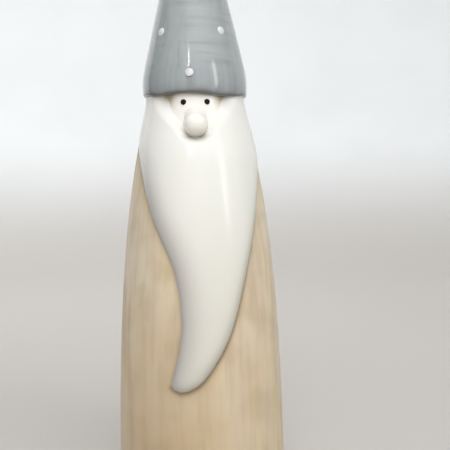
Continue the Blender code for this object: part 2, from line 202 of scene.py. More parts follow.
class TomteStageSettings(bpy.types.PropertyGroup):
    paper: colour("Paper", (237, 239, 240), "The pale sweep behind the figurine")
    floor: colour("Floor", (196, 192, 187), "The sweep's pale floor")
    sky_strength: number("Sky", 0.52, "Strength of the soft light all round")
    fill_power: number("Fill", 1.9, "Power of the soft light in front, in watts")
    key_power: number("Key", 2.7, "Power of the big soft light, in watts")
    wall_power: number("Wall light", 7.2, "Power of the lamp that lights the wall, in watts")


SETTINGS = {
    "tomte_coat": TomteCoatSettings,
    "tomte_beard": TomteBeardSettings,
    "tomte_face": TomteFaceSettings,
    "tomte_hat": TomteHatSettings,
    "tomte_stage": TomteStageSettings,
}


# ---------------------------------------------------------------- curves and surfaces


def bezier(points, share):
    """Points of a Bezier curve of any degree at the given shares, by repeated halfway blending."""
    layer = [np.asarray(point, float) for point in points]
    share = np.asarray(share, float)[:, None]
    while len(layer) > 1:
        layer = [(1.0 - share) * a + share * b for a, b in zip(layer[:-1], layer[1:])]
    return layer[0]


def arc(centre, radius, start, end, count):
    """Points (radius, height) round a centre, between two angles in degrees."""
    angles = np.radians(np.linspace(start, end, count))
    return np.stack([centre[0] + radius * np.cos(angles), centre[1] + radius * np.sin(angles)], 1)


def smooth_curve(points, count):
    """A Catmull-Rom curve through the points: each stretch is the cubic that leaves along its neighbours."""
    path = np.array([points[0]] + list(points) + [points[-1]], float)
    share = np.linspace(0.0, 1.0, count, endpoint=False)[None, :, None]
    a, b, c, d = (path[i:len(path) - 3 + i, None, :] for i in range(4))
    inner = b + 0.5 * share * (c - a) + share**2 * (a - 2.5 * b + 2.0 * c - 0.5 * d)
    inner = inner + share**3 * (1.5 * b - 0.5 * a - 1.5 * c + 0.5 * d)
    return np.vstack([inner.reshape(-1, 2), path[-1:]])


def step(low, high, value):
    """0 below low, 1 above high, and the smooth cubic 3t^2 - 2t^3 between them."""
    t = np.clip((value - low) / (high - low), 0.0, 1.0)
    return t * t * (3.0 - 2.0 * t)


def bump(value, centre, width):
    """A bell of height 1: e to the minus square of the distance over the width."""
    return np.exp(-(((value - centre) / width) ** 2))


NECK_RADIUS = HEAD_RADIUS + SEAT_GAP + NECK_WALL
COAT_CURVE = bezier(
    [
        (NECK_RADIUS, COAT_HEIGHT),
        (NECK_RADIUS + NECK_HANDLE * math.sin(NECK_TAPER), COAT_HEIGHT - NECK_HANDLE * math.cos(NECK_TAPER)),
        (FOOT_RADIUS, BELLY_HANDLE),
        (FOOT_RADIUS, 0.0),
    ],
    np.linspace(0.0, 1.0, 600),
)[::-1]


def coat_radius(height):
    """The coat's outer radius at a height: the Bezier from the foot to the neck, then the neck's taper."""
    above = np.maximum(height - COAT_HEIGHT, 0.0) * math.tan(NECK_TAPER)
    return np.interp(height, COAT_CURVE[:, 1], COAT_CURVE[:, 0]) - above


def around(radius, angle, height):
    """Cylinder coordinates to points: x = r sin a, y = -r cos a, z = height. The angle is in radians."""
    radius, angle, height = np.broadcast_arrays(radius, angle, height)
    return np.stack([radius * np.sin(angle), -radius * np.cos(angle), height], -1)


def front_angles(columns, crowding):
    """Angles round the axis, closer together at the front: p - crowding * sin(p) with p even, as one row."""
    even = np.linspace(-math.pi, math.pi, columns, endpoint=False)[None, :]
    return even - crowding * np.sin(even)


def spread(profile, angle):
    """A profile's radius and height at every angle, as two full grids."""
    return profile[:, 0:1] + np.zeros_like(angle), profile[:, 1:2] + np.zeros_like(angle)


def add_mesh(name, points, faces):
    """A mesh object at the origin of the scene."""
    mesh = bpy.data.meshes.new(name)
    mesh.from_pydata(points, [], faces)
    obj = bpy.data.objects.new(name, mesh)
    bpy.context.scene.collection.objects.link(obj)
    return obj


def add_surface(name, points, faces, marks=None):
    """A smooth mesh object from points and faces, turned right side out by the sign of its volume."""
    corners = np.array([face[:3] for face in faces])
    first, second, third = (points[corners[:, i]] for i in range(3))
    fourth = points[np.array([face[-1] for face in faces])]
    volume = (first * np.cross(second, third)).sum() + (first * np.cross(third, fourth)).sum()
    if volume < 0.0:
        faces = [face[::-1] for face in faces]
    obj = add_mesh(name, points.tolist(), faces)
    obj.data.shade_smooth()
    for mark, values in (marks or {}).items():
        layer = obj.data.attributes.new(mark, "FLOAT", "POINT")
        layer.data.foreach_set("value", np.asarray(values, np.float32).ravel())
    return obj


def add_turned(name, grid, marks=None, poles=(False, False), ring=False):
    """A closed surface from rows of points that run round the axis.

    Each row joins the next, and its last column its first. A pole row is one point, fanned to its neighbour.
    With ring, the last row joins the first, as on a hollow piece.
    """
    rows, columns = grid.shape[:2]
    index = np.arange(rows * columns).reshape(rows, columns)
    upper, lower = (index, np.roll(index, -1, 0)) if ring else (index[:-1], index[1:])
    quads = np.stack([upper, np.roll(upper, -1, 1), np.roll(lower, -1, 1), lower], -1)
    faces = quads[1 if poles[0] else 0:len(quads) - (1 if poles[1] else 0)].reshape(-1, 4).tolist()
    if poles[0]:
        fan = np.stack([np.full(columns, index[0, 0]), np.roll(index[1], -1), index[1]], -1)
        faces += fan.tolist()
    if poles[1]:
        fan = np.stack([index[-2], np.roll(index[-2], -1), np.full(columns, index[-1, 0])], -1)
        faces += fan.tolist()
    keep = np.ones((rows, columns), bool)
    keep[0, 1:] = not poles[0]
    keep[-1, 1:] = not poles[1]
    keep = keep.ravel()
    renumber = np.cumsum(keep) - 1
    faces = [renumber[face].tolist() for face in faces]
    marks = {mark: np.broadcast_to(v, (rows, columns)).ravel()[keep] for mark, v in (marks or {}).items()}
    return add_surface(name, grid.reshape(-1, 3)[keep], faces, marks)


def finish_piece(obj, nodes, material):
    """Give a piece its material and its body, and hide the CAD nodes it stands for."""
    obj.data.materials.append(material)
    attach(obj, BODY)
    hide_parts(*nodes)
    return obj


# ---------------------------------------------------------------- the beard's plan


def edge_curve(edge):
    """A beard edge as a dense run of (angle in degrees, drop in metres)."""
    curve = smooth_curve(edge, 40)
    return np.stack([curve[:, 0], curve[:, 1] * BEARD_LENGTH], 1)


def soft_and_firm_edges():
    """The beard's outline in two runs: the soft left side, and the firm right side with the tip."""
    left, right = edge_curve(BEARD_LEFT_EDGE), edge_curve(BEARD_RIGHT_EDGE)
    under = left[:, 1] > SOFT_EDGE_END * BEARD_LENGTH
    return left[~under], np.concatenate([right, left[under]])


def edge_angle(edge, drop):
    """The beard edge's angle in degrees at a drop below the coat's top."""
    curve = edge_curve(edge)
    order = np.argsort(curve[:, 1], kind="stable")
    return np.interp(drop, curve[order, 1], curve[order, 0])


def face_opening(face, drop):
    """Half of the opening between the beard's lobes, in degrees.

    The half width falls evenly from the brim to the nose's middle and then follows a circle of radius CUP
    round the nose, so it is zero below the nose.
    """
    half_top = NECK_RADIUS * math.sin(math.radians(face.half_angle))
    below = drop - face.nose_drop
    slope = CUP + (half_top - CUP) * np.clip(-below / face.nose_drop, 0.0, 1.2)
    circle = np.sqrt(np.clip(CUP**2 - np.maximum(below, 0.0) ** 2, 0.0, None))
    half_width = np.where(below < 0.0, slope, circle)
    return np.degrees(np.arcsin(half_width / coat_radius(COAT_HEIGHT - drop)))


def distance_to(curve, angle, drop):
    """Least distance over the coat from points to a curve, both as (degrees, drop).

    Angles count as lengths at the point's own radius, so the distance is measured on the coat's skin.
    """
    radius = coat_radius(COAT_HEIGHT - drop)
    flat_angle, flat_drop, flat_radius = (np.ravel(v)[:, None] for v in (angle, drop, radius))
    sideways = np.radians(flat_angle - curve[None, :, 0]) * flat_radius
    down = flat_drop - curve[None, :, 1]
    return np.sqrt((sideways**2 + down**2).min(1)).reshape(np.shape(angle))


def quarter_round(distance, width):
    """The height of a quarter circle of the given width, from 0 at the edge to 1 at the width."""
    t = np.clip(distance / width, 0.0, 1.0)
    return np.sqrt(1.0 - (1.0 - t) ** 2)


class TOMTE_OT_add_beard(bpy.types.Operator):
    """Add the horn-shaped beard: a relief that swells off the coat between its two edges"""

    bl_idname = "tomte.add_beard"
    bl_label = "Beard"

    def execute(self, context):
        beard = context.scene.tomte_beard
        face = context.scene.tomte_face
        cup_drop = face.nose_drop + CUP
        drops, split = self.rows(face, cup_drop)
        across = np.linspace(0.0, 1.0, 61) ** 1.15
        halves = []
        for edge, side in ((BEARD_LEFT_EDGE, -1.0), (BEARD_RIGHT_EDGE, 1.0)):
            outer = edge_angle(edge, drops)
            opening = side * face_opening(face, drops)
            middle = 0.5 * (edge_angle(BEARD_LEFT_EDGE, drops) + edge_angle(BEARD_RIGHT_EDGE, drops))
            middle = middle * step(cup_drop, cup_drop + 0.3 * BEARD_LENGTH, drops)
            inner = np.where(np.arange(len(drops)) < split, opening, middle)
            halves.append(outer[:, None] + (inner - outer)[:, None] * across[None, :])
        angle = np.stack(halves)
        drop = np.broadcast_to(drops[None, :, None], angle.shape)
        height = self.relief(beard, face, angle, drop)
        level = COAT_HEIGHT - drop + TUCK * step(0.5 * MM, 0.0, drop)
        skin = around(coat_radius(level) + height, np.radians(angle), level)
        seat = around(coat_radius(level) - TUCK, np.radians(angle), level)
        obj = self.join_halves(skin, seat, self.marks(face, angle, drop), split)
        finish_piece(obj, ["beard"], beard_material(beard))
        return {"FINISHED"}

    def rows(self, face, cup_drop):
        """Row drops, closer together where an edge or the cup turns quickly. Also the first joined row.

        Every 0.7 degree of turn counts as much as 0.8 mm of drop.
        """
        found = []
        for start, end, count in ((0.0, cup_drop, 70), (cup_drop, BEARD_LENGTH, 150)):
            fine = np.linspace(start, end, 3000)
            edges = [edge_angle(edge, fine) for edge in (BEARD_LEFT_EDGE, BEARD_RIGHT_EDGE)]
            turns = [*edges, face_opening(face, fine)]
            turn = np.abs(np.diff(turns, axis=1)).max(0) / 0.7
            climb = np.diff(fine) / (0.8 * MM)
            travel = np.concatenate([[0.0], np.cumsum(turn + climb)])
            found.append(np.interp(np.linspace(0.0, travel[-1], count + 1), travel, fine))
        return np.concatenate([found[0], found[1][1:]]), len(found[0]) - 1

    def relief(self, beard, face, angle, drop):
        """Height over the coat: swell times a quarter round from each edge, less at the brow and sides."""
        left, right = (distance_to(curve, angle, drop) for curve in soft_and_firm_edges())
        cup_drop = face.nose_drop + CUP
        lobe_drops = np.linspace(0.0, cup_drop, 60)
        half = face_opening(face, lobe_drops)
        lobes = [np.stack([-half, lobe_drops], 1), np.stack([half, lobe_drops], 1)[::-1]]
        gap = distance_to(np.concatenate(lobes), angle, drop)
        wrap = np.clip(np.cos(np.radians(angle)), 0.0, 1.0) ** 0.8
        swell = beard.side_swell + (beard.swell - beard.side_swell) * wrap
        swell = swell * (BROW_SWELL + (1.0 - BROW_SWELL) * step(0.0, BROW_FADE, drop))
        soft = quarter_round(left, beard.left_slope) ** 1.25
        firm = quarter_round(right, beard.right_slope)
        body = (swell + EDGE_SINK) * soft * firm - EDGE_SINK
        lobe = step(-0.8 * MM, 3.2 * MM + 3.6 * MM * step(cup_drop, 4.0 * MM, drop), gap)
        lobe = np.where(gap < 0.02 * MM, 0.0, lobe)
        return body * lobe - LOBE_SINK * (1.0 - lobe)

    def marks(self, face, angle, drop):
        """Painted shade: a band inside the right edge with pooled glaze, shadow under the hat's brim, grey on
        the soft left slope (shade), darker under the nose and in the corners by the brim (chin), and darker
        and creamier towards the tip.
        """
        left, right = (distance_to(curve, angle, drop) for curve in soft_and_firm_edges())
        # Painted shadow just under the hat's brim
        brim = 0.6 * bump(drop, 0.0, 1.6 * MM)
        # Painted shade with pooled glaze in a band inside the right edge
        side = 0.85 * bump(right, 0.4 * MM, 3.8 * MM)
        # Painted shade on the soft left slope, which faces away from the light
        shade = 0.72 * bump(left, 0.0, 7.0 * MM) + 0.25 * bump(left, 0.0, 1.6 * MM)
        shade = shade * step(12.0 * MM, 42.0 * MM, drop)
        below = drop - face.nose_drop
        reach = np.hypot(np.radians(angle) * NECK_RADIUS, below)
        # Painted shadow: a dark crescent on the beard under the nose's ball
        chin = bump(reach, face.nose_radius + 0.1 * MM, 1.1 * MM) * step(0.45, 0.95, below / reach)
        width = np.where(angle > 0.0, 9.0, 7.5)
        # Painted shade with pooled glaze in the corners by the brim
        corner = 0.95 * bump(np.abs(angle), 32.0, width) * bump(drop, 0.0, 3.7 * MM)
        # Painted shade: darker and creamier towards the tip, where less light fell from above
        tip_shade = step(0.08, 1.0, drop / BEARD_LENGTH)
        chin = np.maximum(chin, corner)
        return {"pool_and_shade": np.maximum(side, brim), "shade": shade, "chin": chin, "tip_shade": tip_shade}

    def join_halves(self, skin, seat, marks, split):
        """One closed mesh: the halves share their middle column below the nose, skin and seat their rim."""
        halves, rows, columns = skin.shape[:3]
        outer = np.arange(halves * rows * columns).reshape(halves, rows, columns)
        outer[1, split:, -1] = outer[0, split:, -1]
        rim = np.zeros((halves, rows, columns), bool)
        rim[:, 0, :] = True
        rim[:, -1, :] = True
        rim[:, :, 0] = True
        rim[:, :split + 1, -1] = True
        inner = outer + halves * rows * columns
        inner[rim] = outer[rim]
        faces = []
        for layer, flip in ((outer, 1), (inner, -1)):
            for half, turn in ((0, 1), (1, -1)):
                grid = layer[half]
                quads = np.stack([grid[:-1, :-1], grid[:-1, 1:], grid[1:, 1:], grid[1:, :-1]], -1)
                faces += quads.reshape(-1, 4)[:, ::flip * turn].tolist()
        points = np.concatenate([skin.reshape(-1, 3), seat.reshape(-1, 3)])
        used = np.unique(np.array(faces))
        renumber = np.zeros(len(points), int)
        renumber[used] = np.arange(len(used))
        faces = renumber[np.array(faces)].tolist()
        marks = {mark: np.tile(values.ravel(), 2)[used] for mark, values in marks.items()}
        return add_surface("beard_relief", points[used], faces, marks)


class TOMTE_OT_add_coat(bpy.types.Operator):
    """Add the coat: a turned, slightly uneven shell with a rounded foot ring and an open neck"""

    bl_idname = "tomte.add_coat"
    bl_label = "Coat"

    def execute(self, context):
        coat = context.scene.tomte_coat
        slab_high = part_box("floor_disc")[1]
        angle = front_angles(288, 0.42)
        foot_round = 1.0 * MM
        outer_z = np.linspace(COAT_HEIGHT, foot_round, 216)
        outer = np.stack([coat_radius(outer_z), outer_z], 1)
        foot = arc((FOOT_RADIUS - foot_round, foot_round), foot_round, 0, -90, 8)[1:]
        rebate = slab_high.x + SEAT_GAP
        ledge = slab_high.z + SEAT_GAP
        ring = np.array([(rebate + 0.3 * MM, 0.0), (rebate, 0.3 * MM), (rebate, ledge)])
        bore = HEAD_RADIUS + SEAT_GAP
        bore_foot = HEAD_LOW.z - SEAT_GAP
        slope_foot = bore_foot - (coat_radius(bore_foot) - coat.wall - bore)
        inside_z = np.linspace(ledge, slope_foot, 14)
        inside = np.stack([coat_radius(inside_z) - coat.wall, inside_z], 1)
        neck = np.array([(bore, bore_foot), (bore, COAT_HEIGHT - 4.0 * MM), (bore, COAT_HEIGHT)])
        profile = np.concatenate([outer, foot, ring, inside, neck])
        radius, height = spread(profile, angle)
        on_skin = (np.arange(len(profile)) < len(outer))[:, None]
        sway = np.sin(2.0 * angle + 31.0 * height) + 0.6 * np.sin(3.0 * angle - 47.0 * height + 1.0)
        calm = step(0.0, 12.0 * MM, height) * step(COAT_HEIGHT, COAT_HEIGHT - 12.0 * MM, height)
        radius = radius + np.where(on_skin, coat.unevenness * sway * calm, 0.0)
        under_face = step(50.0, 46.0, np.abs(np.degrees(angle)))
        under_face = under_face * step(FACE_FOOT, FACE_FOOT + 3.0 * MM, height)
        radius = radius - np.where(on_skin, COAT_STEP * under_face, 0.0)
        marks = self.marks(angle, height, on_skin, len(outer))
        obj = add_turned("coat_wall", around(radius, angle, height), marks, ring=True)
        finish_piece(obj, ["coat_shell"], coat_material(coat))
        return {"FINISHED"}

    def marks(self, angle, height, on_skin, outer_rows):
        """Painted shade with gathered wash beside the beard, mostly at its right; painted shade low on the
        coat, most at the front-left. Also the bare clay.
        """
        degrees = np.degrees(angle) + np.zeros_like(height)
        drop = COAT_HEIGHT - height
        near = (degrees[:outer_rows], drop[:outer_rows])
        left, right = (distance_to(curve, *near) for curve in soft_and_firm_edges())
        crease, halo = np.zeros((2, *height.shape))
        # Painted shade and gathered wash: a dark line in the crease along the beard's edges, firmer at the
        # right, and a wider halo beside it
        soft, firm = 0.3 * bump(left, 0.0, 1.0 * MM), 0.8 * bump(right, 0.1 * MM, 1.2 * MM)
        crease[:outer_rows] = np.maximum(firm, soft)
        halo[:outer_rows] = np.maximum(bump(right, 0.0, 3.0 * MM), bump(left, 0.0, 4.0 * MM))
        bare = np.where(on_skin, step(0.9 * MM, 0.3 * MM, height), 1.0)
        # Painted shade: darker towards the foot, most at the front-left, where less light fell
        foot_shade = step(0.28, 0.98, drop / COAT_HEIGHT) * (0.40 + 0.60 * bump(degrees, -20.0, 42.0))
        return {"crease": crease, "halo": halo, "bare": bare, "foot_shade": foot_shade}


class TOMTE_OT_add_floor_slab(bpy.types.Operator):
    """Add the slab that closes the foot, with its vent hole"""

    bl_idname = "tomte.add_floor_slab"
    bl_label = "Floor slab"

    def execute(self, context):
        low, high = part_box("floor_disc")
        soft = 0.5 * MM
        far, near = high.x - soft, SLAB_VENT + soft
        profile = np.concatenate([
            arc((far, high.z - soft), soft, 90, 0, 5),
            arc((far, low.z + soft), soft, 0, -90, 5),
            np.stack([np.linspace(far - soft, near + soft, 12), np.full(12, low.z)], 1),
            arc((near, low.z + soft), soft, 270, 180, 5),
            arc((near, high.z - soft), soft, 180, 90, 5),
        ])
        angle = front_angles(144, 0.0)
        radius, height = spread(profile, angle)
        under = height < (low.z + 0.01 * MM)
        dish = 0.12 * MM * np.sin(radius * 420.0 + 0.6 * np.sin(angle)) * under
        grid = around(radius, angle, height + np.abs(dish))
        obj = add_turned("foot_slab", grid, {"bare": np.ones(grid.shape[:2])}, ring=True)
        finish_piece(obj, ["floor_disc"], clay_material(context.scene.tomte_coat))
        return {"FINISHED"}


def face_radius(face, angle, height):
    """The face's skin: the coat's curve less the sink, with shallow corners by the brim."""
    degrees = np.degrees(angle)
    corner = 0.35 * MM * bump(np.abs(degrees), 31.0, 8.0) * bump(height, COAT_HEIGHT - 1.0 * MM, 4.5 * MM)
    return coat_radius(height) - face.sink - corner


def face_marks(face, degrees, height):
    """Painted shade with pooled glaze in the corners by the brim and along the lobes' edges, and painted
    shadow just under the brim.
    """
    drop = COAT_HEIGHT - height
    half = face_opening(face, np.clip(drop, 0.0, None))
    gap = np.radians(np.abs(half - degrees)) * NECK_RADIUS
    # Painted shade with pooled glaze along the lobes' edges and in the corners, and painted shadow under the
    # brim
    lobes = bump(gap, 0.0, 1.6 * MM) * step(9.0 * MM, 2.0 * MM, drop)
    brim = bump(drop, 0.0, 1.0 * MM)
    corner = bump(degrees, 32.0, 7.5) * bump(drop, 1.0 * MM, 3.4 * MM)
    return {"pool_and_shade": np.clip(0.15 * lobes + 0.35 * brim + 0.9 * corner, 0.0, 1.0)}


class TOMTE_OT_add_head(bpy.types.Operator):
    """Add the head: a hollow thimble under the hat whose front is built out into the face"""

    bl_idname = "tomte.add_head"
    bl_label = "Head"

    def execute(self, context):
        face = context.scene.tomte_face
        shoulder = HEAD_HIGH.z - math.sqrt(HEAD_RADIUS**2 - HEAD_VENT**2)
        inner = HEAD_RADIUS - HEAD_WALL
        angle = front_angles(240, 0.45)
        dome = arc((0.0, shoulder), HEAD_RADIUS, math.degrees(math.acos(HEAD_VENT / HEAD_RADIUS)), 0, 22)
        side_z = np.linspace(shoulder, HEAD_LOW.z, 120)[1:]
        side = np.stack([np.full(len(side_z), HEAD_RADIUS), side_z], 1)
        inside_z = np.linspace(HEAD_LOW.z, shoulder, 8)
        inside = np.stack([np.full(len(inside_z), inner), inside_z], 1)
        cap = arc((0.0, shoulder), inner, 0, math.degrees(math.acos(HEAD_VENT / inner)), 12)[1:]
        profile = np.concatenate([dome, side, inside, cap])
        radius, height = spread(profile, angle)
        rows = np.arange(len(profile))[:, None]
        on_side = (rows >= len(dome)) & (rows < len(dome) + len(side))
        degrees = np.abs(np.degrees(angle))
        shown = step(49.0, 45.0, degrees) * step(FACE_FOOT + 0.5 * MM, FACE_FOOT + 2.5 * MM, height)
        shown = shown * step(COAT_HEIGHT + 1.6 * MM, COAT_HEIGHT + 0.9 * MM, height)
        built = face_radius(face, angle, height)
        radius = np.where(on_side, radius + (built - radius) * shown, radius)
        marks = face_marks(face, degrees, height)
        obj = add_turned("head_and_face", around(radius, angle, height), marks, ring=True)
        finish_piece(obj, ["head_shell"], face_material(face))
        return {"FINISHED"}


class TOMTE_OT_add_nose(bpy.types.Operator):
    """Add the nose: a ball that flows into the face above and sits tight on it below"""

    bl_idname = "tomte.add_nose"
    bl_label = "Nose"

    def execute(self, context):
        face = context.scene.tomte_face
        nose_z = COAT_HEIGHT - face.nose_drop + NOSE_RISE
        turn = np.linspace(0.0, 2.0 * math.pi, 144, endpoint=False)[None, :]
        reach, height = self.profile(face.nose_radius, step(0.35, 1.0, np.sin(turn)))
        x = NOSE_WIDTH * reach * np.cos(turn)
        z = nose_z + reach * np.sin(turn)
        front = float(face_radius(face, 0.0, nose_z))
        angle = np.arcsin(x / front)
        skin = face_radius(face, angle, z) * np.cos(angle)
        share = np.clip(1.0 - height / (NOSE_DEPTH * face.nose_radius + NOSE_STAND), 0.0, 1.0) ** 2
        y = -(front + (skin - front) * share + height)
        marks = face_marks(face, np.abs(np.degrees(angle)), z)
        # Painted shade on the lower part of the ball, which faces down away from the light
        under = step(-0.5 * MM, -4.8 * MM, z - nose_z) * step(1.0 * MM, 2.5 * MM, height)
        marks["pool_and_shade"] = np.maximum(marks["pool_and_shade"], 0.45 * under)
        obj = add_turned("nose_bulb", np.stack([x, y, z], -1), marks, poles=(True, True))
        finish_piece(obj, ["nose"], bpy.data.materials["cream_face_glaze"])
        return {"FINISHED"}

    def profile(self, radius, above):
        """Distance from the nose's axis and height over the face, pole to rim and back under the skin.

        An arc (radius sin a, NOSE_STAND + NOSE_DEPTH radius cos a) runs to a = 93 degrees below and 67 above.
        A quadratic Bezier leads on along its tangent to the skin and ends 0.9 to 2.5 mm further out, sunk
        0.9 mm below.
        """
        last = np.radians(93.0 - 26.0 * above)
        a = np.linspace(0.0, 1.0, 56)[:, None] * last
        ball = (radius * np.sin(a), NOSE_STAND + NOSE_DEPTH * radius * np.cos(a))
        brink, top = ball[0][-1], ball[1][-1]
        bend = brink + top / (NOSE_DEPTH * np.tan(last))
        end = bend + (0.9 + 1.6 * above) * MM
        t = np.linspace(0.0, 1.0, 36)[1:, None]
        flow = (1.0 - t) ** 2 * brink + 2.0 * t * (1.0 - t) * bend + t**2 * end
        sink = (0.004 + 0.9 * (1.0 - above)) * MM * t**2
        back = np.array([1.0, 0.6, 0.3, 0.0])[:, None] * end
        reach = np.concatenate([ball[0], flow, back])
        height = np.concatenate([ball[1], (1.0 - t) ** 2 * top - sink, np.full(back.shape, -NOSE_SEAT)])
        return reach, height


def drop_grid(place, radius, height, sink, rows, columns, seed):
    """A slightly irregular drop of slip on a curved skin.

    place(u, v, h) gives the point u metres round, v metres up and h metres off the skin. The drop's height is
    a flattened half ellipse over its radius; its underside is a shallow dish below the skin.
    """
    wobble = np.random.default_rng(seed).uniform(-1.0, 1.0, 4)
    turn = np.linspace(0.0, 2.0 * math.pi, columns, endpoint=False)[None, :]
    share = np.sin(np.linspace(0.0, math.pi / 2.0, rows))[:, None]
    outline = 1.0 + 0.025 * wobble[0] * np.sin(2.0 * turn + 3.0 * wobble[1])
    outline = outline + 0.018 * wobble[2] * np.sin(3.0 * turn + 3.0 * wobble[3])
    u = radius * share * outline * np.cos(turn)
    v = radius * share * outline * np.sin(turn)
    top = height * np.clip(1.0 - share**2, 0.0, 1.0) ** 0.62 - sink + 0.0 * turn
    under = -sink - DISH_DEPTH * (1.0 - share**2) + 0.0 * turn
    return np.concatenate([place(u, v, top), place(u, v, under)[-2::-1]])


def drop_place(name):
    """Middle, angle from the front in radians and height of an eye or a dot in the frame."""
    low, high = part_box(name)
    middle = (low + high) / 2.0
    return middle, math.atan2(middle.x, -middle.y), high.z - low.z


class TOMTE_OT_add_eyes(bpy.types.Operator):
    """Add the two eyes: small glossy drops of black enamel"""

    bl_idname = "tomte.add_eyes"
    bl_label = "Eyes"

    def execute(self, context):
        face = context.scene.tomte_face
        material = enamel_material(face)
        for seed, name in enumerate(("eye_left", "eye_right")):
            middle, angle, tall = drop_place(name)
            radius = EYE_SHARE * tall

            def place(u, v, off, angle=angle, z=middle.z + EYE_LIFT):
                skin = face_radius(face, angle + u / NECK_RADIUS, z + v)
                return around(skin + off, angle + u / NECK_RADIUS, z + v)

            grid = drop_grid(place, radius, 1.0 * MM, 0.12 * MM, 20, 48, seed)
            obj = add_turned(f"{name}_bead", grid, poles=(True, True))
            finish_piece(obj, [name], material)
        return {"FINISHED"}


def hat_line(hat):
    """The straight side of the cone: the height where it would meet the rim's radius, and its taper."""
    bend = RIM_Z + hat.band
    tip_centre = TIP_Z - hat.tip_radius
    reach = math.hypot(RIM_RADIUS, tip_centre - bend)
    taper = math.atan2(RIM_RADIUS, tip_centre - bend) - math.asin(hat.tip_radius / reach)
    return bend, taper, tip_centre


def hat_sway(hat, angle, height):
    """How far the hat's skin strays from the cone: three slow waves round and up it, none at the tip."""
    waves = np.sin(2.0 * angle + 55.0 * height) + 0.5 * np.sin(3.0 * angle - 90.0 * height + 2.0)
    waves = waves + 0.35 * np.sin(5.0 * angle + 140.0 * height)
    return hat.unevenness * waves * step(TIP_Z, TIP_Z - 25.0 * MM, height)


def rim_lift(angle, height):
    """How the rim dips and rises: an arch over the eyes, dips beside it, lower at the right."""
    degrees = np.degrees(angle)
    lift = -0.50 * MM - 0.42 * MM * np.sin(angle) + 0.22 * MM * bump(degrees, -12.0, 16.0)
    lift = lift + 1.0 * MM * step(48.0, 80.0, np.abs(degrees))
    lift = lift - 0.40 * MM * bump(degrees, -47.0, 15.0) - 0.50 * MM * bump(degrees, 29.0, 17.0)
    return lift * np.exp(-np.maximum(height - RIM_Z, 0.0) / (7.0 * MM))


class TOMTE_OT_add_hat(bpy.types.Operator):
    """Add the hat: a hollow cone with a soft, hand-smoothed rim"""

    bl_idname = "tomte.add_hat"
    bl_label = "Hat"

    def execute(self, context):
        hat = context.scene.tomte_hat
        bend, taper, tip_centre = hat_line(hat)
        bore = HEAD_RADIUS + SEAT_GAP
        tip = arc((0.0, tip_centre), hat.tip_radius, 90, math.degrees(taper), 14)
        side_foot = bend + (hat.band - hat.roll)
        side_z = np.linspace(tip[-1, 1], side_foot, 130)[1:]
        side = np.stack([RIM_RADIUS - (side_z - bend) * math.tan(taper), side_z], 1)
        roll_foot = (RIM_RADIUS, RIM_Z + hat.roll)
        curve = bezier([side[-1], (RIM_RADIUS, bend), roll_foot], np.linspace(0, 1, 22))[1:]
        lip = (RIM_RADIUS - 0.42 * hat.roll, RIM_Z)
        pull = (RIM_RADIUS, RIM_Z + 0.25 * hat.roll)
        rim = bezier([roll_foot, pull, (RIM_RADIUS, RIM_Z), lip], np.linspace(0, 1, 30))[1:]
        wall = HAT_WALL / math.cos(taper)
        apex = bend + (RIM_RADIUS - wall) / math.tan(taper)
        meet = bend + (RIM_RADIUS - wall - bore) / math.tan(taper)
        inner_z = np.linspace(meet, apex, 20)
        inner_radius = np.clip(RIM_RADIUS - wall - (inner_z - bend) * math.tan(taper), 0.0, None)
        inner = np.stack([inner_radius, inner_z], 1)
        under = np.array([(bore + 0.3 * MM, RIM_Z + 0.05 * MM), (bore, RIM_Z + 0.3 * MM)])
        profile = np.concatenate([tip, side, curve, rim, under, inner])
        profile[[0, -1], 0] = 0.0
        angle = front_angles(224, 0.35)
        radius, height = spread(profile, angle)
        shown = (np.arange(len(profile)) < len(profile) - len(inner) - 1)[:, None]
        sway = hat_sway(hat, angle, height) * step(0.0, 8.0 * MM, radius)
        radius = radius + np.where(shown, sway, 0.0)
        height = height + np.where(shown, rim_lift(angle, height), 0.0)
        # Painted shadow with gathered glaze: a dark band along the rim's lower edge
        rise = np.maximum(profile[:, 1:2] - RIM_Z, 0.0)
        wavy = 1.0 + 0.25 * np.sin(5.0 * angle + 1.0) + 0.15 * np.sin(11.0 * angle)
        pool_and_shade = 0.95 * bump(rise, 0.0, 1.2 * MM * wavy) + 0.32 * bump(rise, 0.0, 3.4 * MM)
        marks = {"pool_and_shade": np.clip(pool_and_shade, 0.0, 1.0)}
        obj = add_turned("hat_cone", around(radius, angle, height), marks, poles=(True, True))
        finish_piece(obj, ["hat_shell"], hat_material(hat))
        return {"FINISHED"}


class TOMTE_OT_add_dots(bpy.types.Operator):
    """Add the raised drops of white slip on the hat, one for each drop in the frame"""

    bl_idname = "tomte.add_dots"
    bl_label = "Hat dots"

    def execute(self, context):
        hat = context.scene.tomte_hat
        bend, taper, _ = hat_line(hat)
        material = slip_material(hat)
        for seed, name in enumerate(DOT_NODES):
            middle, angle, tall = drop_place(name)
            radius = DOT_SHARE * tall

            def place(u, v, off, angle=angle, z=middle.z):
                height = z + v * math.cos(taper)
                skin = RIM_RADIUS - (z - bend) * math.tan(taper)
                turned = angle + u / skin
                cone = RIM_RADIUS - (height - bend) * math.tan(taper) + hat_sway(hat, turned, height)
                return around(cone + off * math.cos(taper), turned, height + off * math.sin(taper))

            grid = drop_grid(place, radius, hat.dot_height, 0.05 * MM, 12, 36, 100 + seed)
            obj = add_turned(f"slip_dot_{name[8:]}", grid, poles=(True, True))
            finish_piece(obj, [name], material)
        return {"FINISHED"}


# ---------------------------------------------------------------- glazes


